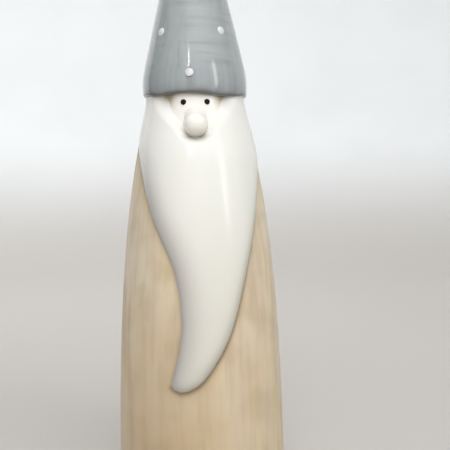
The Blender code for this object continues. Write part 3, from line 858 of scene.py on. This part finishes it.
class Sheet:
    """A node tree being written: add() makes a node and sets or links its inputs."""

    def __init__(self, tree):
        self.tree = tree

    def fill(self, node, inputs):
        """Link the inputs that are given as sockets and set the others."""
        for key, value in inputs.items():
            if isinstance(value, bpy.types.NodeSocket):
                self.tree.links.new(value, node.inputs[key])
            else:
                node.inputs[key].default_value = value

    def add(self, kind, inputs, **settings):
        node = self.tree.nodes.new(kind)
        for key, value in settings.items():
            setattr(node, key, value)
        self.fill(node, inputs)
        return node

    def math(self, operation, first, second, clamp=False):
        node = self.add("ShaderNodeMath", {0: first, 1: second}, operation=operation, use_clamp=clamp)
        return node.outputs[0]

    def times(self, first, second, clamp=False):
        return self.math("MULTIPLY", first, second, clamp)

    def vector(self, operation, first, second):
        inputs = {0: first, "Scale" if operation == "SCALE" else 1: second}
        return self.add("ShaderNodeVectorMath", inputs, operation=operation).outputs[0]

    def mix(self, share, first, second):
        node = self.add("ShaderNodeMix", {0: share, 6: first, 7: second}, data_type="RGBA")
        return node.outputs[2]

    def layers(self, base, *over):
        """A base colour with others laid over it, each given as (share, colour)."""
        for share, shade in over:
            base = self.mix(share, base, shade)
        return base

    def fit(self, value, low, high, to_low=0.0, to_high=1.0):
        inputs = {"Value": value, "From Min": low, "From Max": high, "To Min": to_low, "To Max": to_high}
        return self.add("ShaderNodeMapRange", inputs, interpolation_type="SMOOTHSTEP").outputs[0]

    def place(self):
        return self.add("ShaderNodeTexCoord", {}).outputs["Object"]

    def height(self):
        return self.add("ShaderNodeSeparateXYZ", {0: self.place()}).outputs[2]

    def mark(self, name):
        return self.add("ShaderNodeAttribute", {}, attribute_name=name).outputs["Fac"]

    def noise(self, place, scale, detail=2.0):
        return self.add("ShaderNodeTexNoise", {"Vector": place, "Scale": scale, "Detail": detail})

    def patches(self, scale, seed, detail=2.0):
        """Soft patches from 0 to 1 on the piece's own coordinates, shifted by a seed."""
        moved = self.vector("ADD", self.place(), (seed, 2.0 * seed, 3.0 * seed))
        return self.noise(moved, scale, detail).outputs[0]

    def relief(self, strength, distance, height):
        inputs = {"Strength": strength, "Distance": distance, "Height": height}
        return self.add("ShaderNodeBump", inputs).outputs[0]

    def group(self, tree, **inputs):
        return self.add("ShaderNodeGroup", inputs, node_tree=tree)

    def brush(self, **inputs):
        return self.group(brush_marks_group(), **inputs).outputs["Streak"]

    def skin(self, waves, peel, pinholes):
        return self.group(glaze_skin_group(), Waves=waves, Peel=peel, Pinholes=pinholes).outputs


def new_group(name, inputs, outputs):
    """A shader node group of floats. Returns its sheet, the sockets it is given and its output node."""
    tree = bpy.data.node_groups.new(name, "ShaderNodeTree")
    for label, default in inputs.items():
        socket = tree.interface.new_socket(label, in_out="INPUT", socket_type="NodeSocketFloat")
        socket.default_value = default
    for label in outputs:
        tree.interface.new_socket(label, in_out="OUTPUT", socket_type="NodeSocketFloat")
    return Sheet(tree), tree.nodes.new("NodeGroupInput").outputs, tree.nodes.new("NodeGroupOutput")


def brush_marks_group():
    """Streaks left by a soft brush: noise squeezed across the stroke and drawn out along it.

    Fine counts streaks per metre across the stroke and Long per metre along it. Upright is 1 for strokes up
    the piece and 0 for strokes round it.
    """
    name = "brush_marks"
    if name in bpy.data.node_groups:
        return bpy.data.node_groups[name]
    sheet, given, result = new_group(name, {"Fine": 400.0, "Long": 25.0, "Upright": 1.0}, ["Streak"])
    place = sheet.place()
    fine, long_way = given["Fine"], given["Long"]
    gain = sheet.times(given["Upright"], sheet.math("SUBTRACT", fine, long_way))
    flat_scale = sheet.math("ADD", gain, long_way)
    tall_scale = sheet.math("SUBTRACT", sheet.math("ADD", fine, long_way), flat_scale)
    scale = sheet.add("ShaderNodeCombineXYZ", {0: flat_scale, 1: flat_scale, 2: tall_scale}).outputs[0]
    wander = sheet.vector("SUBTRACT", sheet.noise(place, 45.0, 1.0).outputs["Color"], (0.5, 0.5, 0.5))
    moved = sheet.vector("ADD", place, sheet.vector("SCALE", wander, 0.0018))
    drawn = sheet.vector("MULTIPLY", moved, scale)
    streak = sheet.noise(drawn, 1.0, 2.5)
    streak.inputs["Roughness"].default_value = 0.55
    sheet.fill(result, {"Streak": streak.outputs[0]})
    return sheet.tree


def glaze_skin_group():
    """The fine unevenness of a fired glaze: slow waves, a light orange peel and a few pinholes."""
    name = "glaze_skin"
    if name in bpy.data.node_groups:
        return bpy.data.node_groups[name]
    defaults = {"Waves": 1.0, "Peel": 0.3, "Pinholes": 0.4}
    sheet, given, result = new_group(name, defaults, ["Height", "Pinhole"])
    place = sheet.place()
    waves = sheet.times(sheet.noise(place, 110.0, 1.0).outputs[0], given["Waves"])
    peel = sheet.times(sheet.noise(place, 1100.0).outputs[0], given["Peel"])
    cells = sheet.add("ShaderNodeTexVoronoi", {"Vector": place, "Scale": 330.0, "Randomness": 1.0})
    rare = sheet.fit(cells.outputs["Color"], 0.86, 0.92)
    hole = sheet.times(sheet.fit(cells.outputs["Distance"], 0.12, 0.03), rare)
    pit = sheet.times(hole, given["Pinholes"])
    height = sheet.math("SUBTRACT", sheet.math("ADD", waves, peel), pit)
    sheet.fill(result, {"Height": height, "Pinhole": pit})
    return sheet.tree


def new_material(name):
    """A Principled material. Returns it, its sheet and its shader node."""
    material = bpy.data.materials.new(name)
    material.use_nodes = True
    return material, Sheet(material.node_tree), material.node_tree.nodes["Principled BSDF"]


def rgba(value, *factors):
    """A colour with full alpha, multiplied by one factor or by one for each of its parts."""
    return (*(np.array(value) * (factors or 1.0)), 1.0)


def coat_material(coat):
    """A wash brushed thinly upwards over the clay: rosy, straw and beige strokes; deeper wash together with
    painted shade in the crease and halo beside the beard, and painted shade towards the foot.
    """
    material, sheet, shader = new_material("beige_wash")
    brush = sheet.brush(Fine=300.0, Long=22.0)
    broad = sheet.brush(Fine=95.0, Long=24.0)
    bare = sheet.mark("bare")
    base = sheet.layers(
        rgba(coat.wash),
        (sheet.fit(sheet.patches(30.0, 0.31), 0.40, 0.68), rgba(coat.wash_rose)),
        (sheet.times(sheet.fit(broad, 0.40, 0.70), 0.8), rgba(coat.wash_straw)),
        # Painted shade towards the foot
        (sheet.mark("foot_shade"), rgba(coat.wash_low_shade)),
        (sheet.fit(sheet.patches(62.0, 0.67), 0.44, 0.72, 0.0, 0.26), rgba(coat.wash_deep_and_shade)),
        (sheet.times(sheet.fit(brush, 0.36, 0.76), 0.27), rgba(coat.wash_deep_and_shade)),
        # Painted shade and gathered wash beside the beard: halo, then crease
        (sheet.times(sheet.mark("halo"), 0.22), rgba(coat.wash_deep_and_shade)),
        (sheet.times(sheet.mark("crease"), 0.85), rgba(coat.wash_deep_and_shade, 0.46)),
        (bare, rgba(coat.clay)),
    )
    skin = sheet.skin(0.6, 0.5, 0.3)["Height"]
    relief = sheet.relief(0.35, 0.00018, sheet.math("ADD", skin, sheet.times(brush, 0.8)))
    rough = sheet.math("ADD", sheet.fit(brush, 0.3, 0.7, 0.42, 0.56), sheet.times(bare, 0.35))
    sheet.fill(shader, {"Base Color": base, "Roughness": rough, "Normal": relief, "IOR": 1.45})
    return material


def clay_material(coat):
    """Bare fired clay: dry, faintly speckled, with rubbed patches."""
    material, sheet, shader = new_material("bare_fired_clay")
    skin = sheet.skin(0.4, 1.0, 1.0)
    base = sheet.layers(
        rgba(coat.clay),
        (sheet.fit(sheet.patches(90.0, 0.17, 3.0), 0.4, 0.65), rgba(coat.clay, 0.80)),
        (sheet.times(skin["Pinhole"], 0.5), rgba(coat.clay, 0.35)),
    )
    relief = sheet.relief(0.6, 0.0002, skin["Height"])
    sheet.fill(shader, {"Base Color": base, "Roughness": 0.85, "Normal": relief})
    return material


def white_glaze(name, tints, light, tip_shade, pool_and_shade, pool_and_shade_share, grey, shadow_brown):
    """A thick glossy glaze: faint patches of two tints, with painted shade laid over by marks: darker and
    creamier towards the beard's tip, pooled glaze and shadow along edges and under the brim, grey on the
    beard's left slope, and a dark shadow under the nose.
    """
    material, sheet, shader = new_material(name)
    base = sheet.layers(
        tints[0],
        (sheet.fit(sheet.patches(30.0, 0.53), 0.38, 0.66), tints[1]),
        (0.5, light),
        # Painted shade from here on: towards the tip, along edges and under the brim, on the left slope and
        # under the nose
        (sheet.mark("tip_shade"), tip_shade),
        (sheet.times(sheet.mark("pool_and_shade"), pool_and_shade_share, clamp=True), pool_and_shade),
        (sheet.mark("shade"), grey),
        (sheet.times(sheet.mark("chin"), 0.75), shadow_brown),
    )
    skin = sheet.skin(1.0, 0.06, 0.15)["Height"]
    rough = sheet.fit(sheet.patches(60.0, 0.91), 0.3, 0.7, 0.19, 0.26)
    inputs = {"Base Color": base, "Roughness": rough, "Normal": sheet.relief(0.12, 0.0003, skin), "IOR": 1.45}
    sheet.fill(shader, {**inputs, "Coat Weight": 0.3, "Coat Roughness": 0.22})
    return material


def beard_material(beard):
    light, deep = beard.glaze, beard.glaze_deep_and_shade
    tints = (rgba(light, 1.0, 0.975, 0.965), rgba(light, 0.975, 0.99, 0.955))
    # Painted shade colours: grey for the left slope, a dark tan for the shadow under the nose
    marks = {"tip_shade": rgba(beard.glaze_thin), "grey": rgba(beard.painted_slope_shade, 0.86), "shadow_brown": rgba(deep, 0.55)}
    return white_glaze("white_beard_glaze", tints, rgba(light), pool_and_shade=rgba(deep), pool_and_shade_share=0.85, **marks)


def face_material(face):
    light, rosy, deep = rgba(face.glaze), rgba(face.glaze, 1.0, 0.97, 0.94), rgba(face.glaze_deep_and_shade)
    # The face's marks paint shade with pooled glaze in its corners and shadow under the brim
    marks = {"tip_shade": rosy, "grey": deep, "shadow_brown": deep}
    return white_glaze("cream_face_glaze", (rosy, light), light, pool_and_shade=deep, pool_and_shade_share=1.0, **marks)


def enamel_material(face):
    """Black enamel with a hard shine."""
    material, sheet, shader = new_material("black_eye_enamel")
    haze = sheet.fit(sheet.patches(900.0, 0.2), 0.3, 0.7, 0.05, 0.12)
    sheet.fill(shader, {"Base Color": rgba(face.enamel), "Roughness": haze, "IOR": 1.35})
    return material


def hat_material(hat):
    """A grey glaze brushed round the cone and up from the rim, thinner on the strokes, with a dark band on
    the rim's lower edge that is painted shadow as well as gathered glaze.
    """
    material, sheet, shader = new_material("grey_hat_glaze")
    upright = sheet.brush(Fine=430.0, Long=34.0, Upright=1.0)
    level = sheet.brush(Fine=480.0, Long=42.0, Upright=0.0)
    low = sheet.fit(sheet.height(), RIM_Z + 16.0 * MM, RIM_Z + 3.0 * MM)
    share = sheet.math("MAXIMUM", low, sheet.fit(sheet.patches(55.0, 0.77), 0.40, 0.58))
    streaks = sheet.add("ShaderNodeMix", {0: share, 2: level, 3: upright}).outputs[0]
    cloud = sheet.fit(sheet.patches(38.0, 0.41), 0.35, 0.65, 0.0, 0.35)
    base = sheet.layers(
        rgba(hat.glaze),
        (cloud, rgba(hat.glaze, 0.94, 0.96, 0.99)),
        (sheet.times(sheet.fit(streaks, 0.45, 0.82), 0.34), rgba(hat.glaze_thin)),
        (sheet.times(sheet.fit(streaks, 0.5, 0.28), 0.16), rgba(hat.glaze_deep_and_shade)),
        # Painted shadow on the rim's lower edge
        (sheet.times(sheet.mark("pool_and_shade"), 0.9), rgba(hat.glaze_deep_and_shade)),
    )
    skin = sheet.skin(1.0, 0.1, 0.2)["Height"]
    relief = sheet.relief(0.09, 0.00025, sheet.math("ADD", skin, sheet.times(streaks, 0.35)))
    rough = sheet.fit(streaks, 0.3, 0.7, 0.16, 0.26)
    inputs = {"Base Color": base, "Roughness": rough, "Normal": relief, "IOR": 1.45}
    gloss = {"Coat Weight": 0.9, "Coat Roughness": 0.06, "Specular IOR Level": 0.35}
    sheet.fill(shader, {**inputs, **gloss})
    return material


def slip_material(hat):
    """White slip under clear glaze, a little greyer in patches."""
    material, sheet, shader = new_material("white_slip")
    patch = sheet.fit(sheet.patches(700.0, 0.63), 0.35, 0.65)
    base = sheet.mix(patch, rgba(hat.slip), rgba(hat.slip, 0.90))
    skin = sheet.skin(0.5, 0.1, 0.2)["Height"]
    inputs = {"Base Color": base, "Roughness": 0.18, "Normal": sheet.relief(0.3, 0.0002, skin), "IOR": 1.45}
    sheet.fill(shader, {**inputs, "Coat Weight": 0.4, "Coat Roughness": 0.05})
    return material


# ---------------------------------------------------------------- stage

SHEEN_DISTANCE = 1.15
SHEEN_BASE = 0.4
SHEEN_PEAK = 0.8
SHEEN_BELLS = ((8.0, 34.0), (41.0, 17.0))  # centre and width in degrees: azimuth, then elevation
WALL_LIGHT_PLACE = (-0.25, 0.25, 1.05)
WALL_LIGHT_AIM = (-0.22, 1.40, 0.40)
CAMERA_PLACE = (0.0, -0.302, 0.127)
CAMERA_TURN = (2.224, 2.8, 1.123)  # yaw, pitch and roll in degrees
CAMERA_LENS = 56.0


def add_lamp(name, place, target, width, tall, power):
    """A rectangular area light at a place that faces a target, unseen by the camera."""
    light = bpy.data.lights.new(name, "AREA")
    light.shape = "RECTANGLE"
    light.size, light.size_y, light.energy = width, tall, power
    obj = bpy.data.objects.new(name, light)
    turn = (target - place).to_track_quat("-Z", "Y").to_matrix().to_4x4()
    obj.matrix_world = Matrix.Translation(place) @ turn
    obj.visible_camera = False
    bpy.context.scene.collection.objects.link(obj)
    return obj


def add_softbox(name, target_z, azimuth, elevation, distance, width, tall, power):
    """A lamp that faces a height on the figurine from a compass angle and an elevation in degrees."""
    a, e = math.radians(azimuth), math.radians(elevation)
    away = Vector((math.sin(a) * math.cos(e), -math.cos(a) * math.cos(e), math.sin(e)))
    target = Vector((0.0, 0.0, target_z))
    return add_lamp(name, target + away * distance, target, width, tall, power)


def cell_faces(index):
    """The four-cornered faces between the neighbours of a grid of point numbers."""
    corners = [index[:-1, :-1], index[1:, :-1], index[1:, 1:], index[:-1, 1:]]
    return np.stack(corners, -1).reshape(-1, 4).tolist()


class TOMTE_OT_add_stage(bpy.types.Operator):
    """Add the pale paper sweep, the soft lights and the camera"""

    bl_idname = "tomte.add_stage"
    bl_label = "Stage"

    def execute(self, context):
        stage = context.scene.tomte_stage
        self.add_sweep(stage)
        self.add_sky(context.scene, stage)
        hat_z = RIM_Z + 12.0 * MM
        big = {"distance": 0.75, "width": 0.55, "tall": 0.45, "power": stage.key_power}
        key = add_softbox("key_softbox", hat_z, azimuth=16.0, elevation=50.0, **big)
        add_lamp("wall_light", Vector(WALL_LIGHT_PLACE), Vector(WALL_LIGHT_AIM), 0.9, 0.3, stage.wall_power)
        wide = {"distance": 1.0, "width": 0.7, "tall": 0.6, "power": stage.fill_power}
        fill = add_softbox("fill_softbox", 0.15, azimuth=-10.0, elevation=14.0, **wide)
        key.visible_glossy = fill.visible_glossy = False
        self.add_flag("left_flag", x=-0.34, width=0.34, foot=0.04, top=0.42)
        self.add_flag("right_flag", x=0.42, width=0.18, foot=0.09, top=0.80)
        self.add_sheen(hat_z)
        window = {"distance": 1.05, "width": 0.15, "tall": 0.48, "power": 0.90}
        add_softbox("window_strip", hat_z, azimuth=46.0, elevation=20.0, **window)
        lamp = {"distance": 1.0, "width": 0.034, "tall": 0.13, "power": 0.30}
        add_softbox("lamp_strip", hat_z, azimuth=-13.0, elevation=32.6, **lamp)
        self.add_camera(context.scene)
        context.scene.view_settings.view_transform = "Standard"
        return {"FINISHED"}

    def add_sweep(self, stage):
        """A round bowl of paper: a level floor that curves up into a wall well outside every camera."""
        flat, bend, wall = 0.78, 0.64, 1.25
        floor = np.stack([np.linspace(0.0, flat, 24), np.zeros(24)], 1)
        curve = arc((flat, bend), bend, -90, 0, 24)[1:]
        side = np.stack([np.full(12, flat + bend), np.linspace(bend, wall, 13)[1:]], 1)
        profile = np.concatenate([floor, curve, side])
        grid = around(profile[:, 0:1], front_angles(96, 0.0), profile[:, 1:2] - 0.0001)
        rows, columns = grid.shape[:2]
        index = np.arange(rows * columns).reshape(rows, columns)
        faces = cell_faces(np.concatenate([index, index[:, :1]], 1)[1:])
        sweep = add_mesh("paper_sweep", grid.reshape(-1, 3).tolist(), faces)
        sweep.data.shade_smooth()
        material, sheet, shader = new_material("pale_paper")
        base = sheet.layers(
            rgba(stage.paper),
            (sheet.fit(sheet.patches(6.0, 0.1), 0.3, 0.7), rgba(stage.paper, 0.97)),
            (sheet.fit(sheet.height(), 0.25, 0.0), rgba(stage.floor)),
        )
        sheet.fill(shader, {"Base Color": base, "Roughness": 0.9, "IOR": 1.3})
        sweep.data.materials.append(material)

    def add_sheen(self, centre_z):
        """A dim screen in front that only glossy surfaces see, brightest where a soft window would stand.

        Its glow by direction is SHEEN_BASE plus SHEEN_PEAK times a bell over azimuth and elevation.
        """
        azimuth = np.radians(np.linspace(-110.0, 110.0, 89))[None, :]
        elevation = np.radians(np.linspace(-8.0, 78.0, 44))[:, None]
        rise = centre_z + SHEEN_DISTANCE * np.sin(elevation)
        grid = around(SHEEN_DISTANCE * np.cos(elevation), azimuth, rise)
        faces = cell_faces(np.arange(grid.shape[0] * grid.shape[1]).reshape(grid.shape[:2]))
        screen = add_mesh("sheen_screen", grid.reshape(-1, 3).tolist(), faces)
        for ray in ("camera", "diffuse", "shadow", "transmission", "volume_scatter"):
            setattr(screen, f"visible_{ray}", False)
        material, sheet, shader = new_material("screen_glow")
        x, y, z = sheet.add("ShaderNodeSeparateXYZ", {0: sheet.place()}).outputs
        side = sheet.math("ARCTAN2", x, sheet.times(y, -1.0))
        up = sheet.math("DIVIDE", sheet.math("SUBTRACT", z, centre_z), SHEEN_DISTANCE)
        bells = []
        for value, bell in zip((side, up), SHEEN_BELLS):
            centre, width = (math.radians(v) for v in bell)
            away = sheet.math("DIVIDE", sheet.math("SUBTRACT", value, centre), width)
            bells.append(sheet.math("POWER", math.e, sheet.times(sheet.times(away, away), -1.0)))
        strength = sheet.math("ADD", sheet.times(sheet.times(*bells), SHEEN_PEAK), SHEEN_BASE)
        glow = {"Base Color": (0.0, 0.0, 0.0, 1.0), "Emission Color": (0.97, 0.99, 1.0, 1.0)}
        sheet.fill(shader, {**glow, "Emission Strength": strength, "Roughness": 1.0})
        screen.data.materials.append(material)

    def add_flag(self, name, x, width, foot, top):
        """A dark card beside the figurine, out of the camera's sight, that keeps light off its side."""
        half = width / 2.0
        corners = [(x, -half, foot), (x, half, foot), (x, half, top), (x, -half, top)]
        flag = add_mesh(name, corners, [(0, 1, 2, 3)])
        flag.visible_camera = False
        material, sheet, shader = new_material(f"{name}_cloth")
        weave = sheet.fit(sheet.patches(40.0, 0.2), 0.3, 0.7)
        base = sheet.mix(weave, (0.05, 0.05, 0.055, 1.0), (0.07, 0.07, 0.07, 1.0))
        sheet.fill(shader, {"Base Color": base, "Roughness": 0.95})
        flag.data.materials.append(material)

    def add_sky(self, scene, stage):
        """Soft light all round, stronger from above."""
        world = bpy.data.worlds.new("soft_room")
        world.use_nodes = True
        sheet = Sheet(world.node_tree)
        direction = sheet.add("ShaderNodeTexCoord", {}).outputs["Generated"]
        height = sheet.add("ShaderNodeSeparateXYZ", {0: direction}).outputs[2]
        strength = sheet.fit(height, 0.1, 1.0, 0.7 * stage.sky_strength, 1.3 * stage.sky_strength)
        inputs = {"Color": (0.98, 0.99, 1.0, 1.0), "Strength": strength}
        sheet.fill(world.node_tree.nodes["Background"], inputs)
        scene.world = world

    def add_camera(self, scene):
        """The camera: 0.3 m in front at the beard's height, with a slight yaw, pitch and roll."""
        camera = bpy.data.cameras.new("camera")
        camera.lens = CAMERA_LENS
        camera.sensor_width = 36.0
        camera.clip_start = 0.01
        obj = bpy.data.objects.new("camera", camera)
        yaw, pitch, roll = (math.radians(v) for v in CAMERA_TURN)
        turn = Matrix.Rotation(-yaw, 4, "Z") @ Matrix.Rotation(math.pi / 2.0 - pitch, 4, "X")
        turn = turn @ Matrix.Rotation(-roll, 4, "Z")
        obj.matrix_world = Matrix.Translation(CAMERA_PLACE) @ turn
        scene.collection.objects.link(obj)
        scene.camera = obj


# ---------------------------------------------------------------- panel and run

OPERATORS = (
    TOMTE_OT_add_coat,
    TOMTE_OT_add_floor_slab,
    TOMTE_OT_add_head,
    TOMTE_OT_add_beard,
    TOMTE_OT_add_nose,
    TOMTE_OT_add_eyes,
    TOMTE_OT_add_hat,
    TOMTE_OT_add_dots,
    TOMTE_OT_add_stage,
)


class TOMTE_PT_workbench(bpy.types.Panel):
    """The pieces of the tomte and their sizes and glazes"""

    bl_idname = "TOMTE_PT_workbench"
    bl_label = "Tomte"
    bl_space_type = "VIEW_3D"
    bl_region_type = "UI"
    bl_category = "Tomte"

    def draw(self, context):
        for operator in OPERATORS:
            self.layout.operator(operator.bl_idname, text=operator.bl_label)
        for attribute, settings in SETTINGS.items():
            box = self.layout.box()
            for name in settings.__annotations__:
                box.prop(getattr(context.scene, attribute), name)


def register():
    for settings in SETTINGS.values():
        bpy.utils.register_class(settings)
    for attribute, settings in SETTINGS.items():
        setattr(bpy.types.Scene, attribute, bpy.props.PointerProperty(type=settings))
    for operator in OPERATORS:
        bpy.utils.register_class(operator)
    bpy.utils.register_class(TOMTE_PT_workbench)


def unregister():
    bpy.utils.unregister_class(TOMTE_PT_workbench)
    for operator in reversed(OPERATORS):
        bpy.utils.unregister_class(operator)
    for attribute, settings in SETTINGS.items():
        delattr(bpy.types.Scene, attribute)
        bpy.utils.unregister_class(settings)


def main():
    register()
    for operator in OPERATORS:
        family, action = operator.bl_idname.split(".")
        getattr(getattr(bpy.ops, family), action)()
    bpy.context.view_layer.update()


if __name__ == "__main__":
    main()
